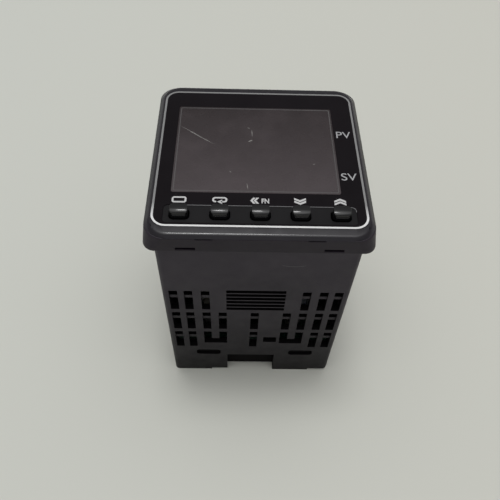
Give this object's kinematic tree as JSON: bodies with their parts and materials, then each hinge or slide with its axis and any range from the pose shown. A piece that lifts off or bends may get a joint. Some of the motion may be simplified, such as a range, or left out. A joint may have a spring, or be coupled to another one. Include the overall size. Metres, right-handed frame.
{
  "type": "panel-mounting temperature controller",
  "caption": "Square-fronted PID temperature controller with a smoked display window, a row of small keys, a vented housing and a screw-terminal rear.",
  "frame": {"origin": "bottom centre: middle of the housing's plan on the plane of its rear feet, on which it rests", "axes": "+Z out of the display face, along the depth of the instrument; +Y towards the upper edge of the display; +X to the right as the display is read"},
  "size_m": [0.0488, 0.0488, 0.0679],
  "materials": {
    "case_plastic": "fine matte texture, dark grey",
    "collar_plastic": "matte black",
    "bezel_plastic": "satin black",
    "sheet_print": "printed film, fine matte black with white print",
    "smoked_lens": "smoked clear plastic, satin",
    "liquid_crystal": "dark, unlit",
    "light_guide": "white",
    "board_green": "green solder mask over glass laminate",
    "screw_steel": "bright nickel plate",
    "switch_black": "black",
    "chip_black": "moulded black",
    "block_plastic": "matte black",
    "plated_strip": "tin-plated copper alloy",
    "socket_plastic": "black",
    "gold_pin": "gilt",
    "ferrite": "sintered ferrite, dull dark grey",
    "winding_tape": "yellow winding tape",
    "can_sleeve": "sleeved can",
    "varistor_blue": "dipped blue coating",
    "relay_blue": "blue sealed case",
    "relay_black": "black sealed case",
    "key_black": "glossy black",
    "plunger_white": "white"
  },
  "bodies": {
    "controller": {"alarm_relays": "relay_black", "backlight": "light_guide", "backplane_board": "board_green", "board_screws": "screw_steel", "board_sockets": "socket_plastic", "bulk_capacitor": "can_sleeve", "clamp_plates": "plated_strip", "control_board": "board_green", "display_board": "board_green", "display_lens": "smoked_lens", "face_sheet": "sheet_print", "filter_capacitors": "can_sleeve", "front_bezel": "bezel_plastic", "front_collar": "collar_plastic", "input_choke": "ferrite", "key_switches": "switch_black", "lcd_glass": "liquid_crystal", "link_headers": "socket_plastic", "link_pins": "gold_pin", "optocouplers": "chip_black", "output_relay": "relay_blue", "power_board": "board_green", "processor": "chip_black", "rear_case": "case_plastic", "terminal_block": "block_plastic", "terminal_screws": "screw_steel", "terminal_strips": "plated_strip", "transformer_bobbin": "winding_tape", "transformer_core": "ferrite", "varistor": "varistor_blue"},
    "level_key": {"key_level": "key_black", "plunger_level": "plunger_white"},
    "cycle_key": {"key_cycle": "key_black", "plunger_cycle": "plunger_white"},
    "shift_key": {"key_shift": "key_black", "plunger_shift": "plunger_white"},
    "down_key": {"key_down": "key_black", "plunger_down": "plunger_white"},
    "up_key": {"key_up": "key_black", "plunger_up": "plunger_white"}
  },
  "joints": [
    {"name": "level_press", "type": "slide", "parent": "controller", "child": "level_key", "axis": [0, 0, -1], "range_m": [0, 0.0004], "stiffness_N_per_m": 400},
    {"name": "cycle_press", "type": "slide", "parent": "controller", "child": "cycle_key", "axis": [0, 0, -1], "range_m": [0, 0.0004], "stiffness_N_per_m": 400},
    {"name": "shift_press", "type": "slide", "parent": "controller", "child": "shift_key", "axis": [0, 0, -1], "range_m": [0, 0.0004], "stiffness_N_per_m": 400},
    {"name": "down_press", "type": "slide", "parent": "controller", "child": "down_key", "axis": [0, 0, -1], "range_m": [0, 0.0004], "stiffness_N_per_m": 400},
    {"name": "up_press", "type": "slide", "parent": "controller", "child": "up_key", "axis": [0, 0, -1], "range_m": [0, 0.0004], "stiffness_N_per_m": 400}
  ]
}
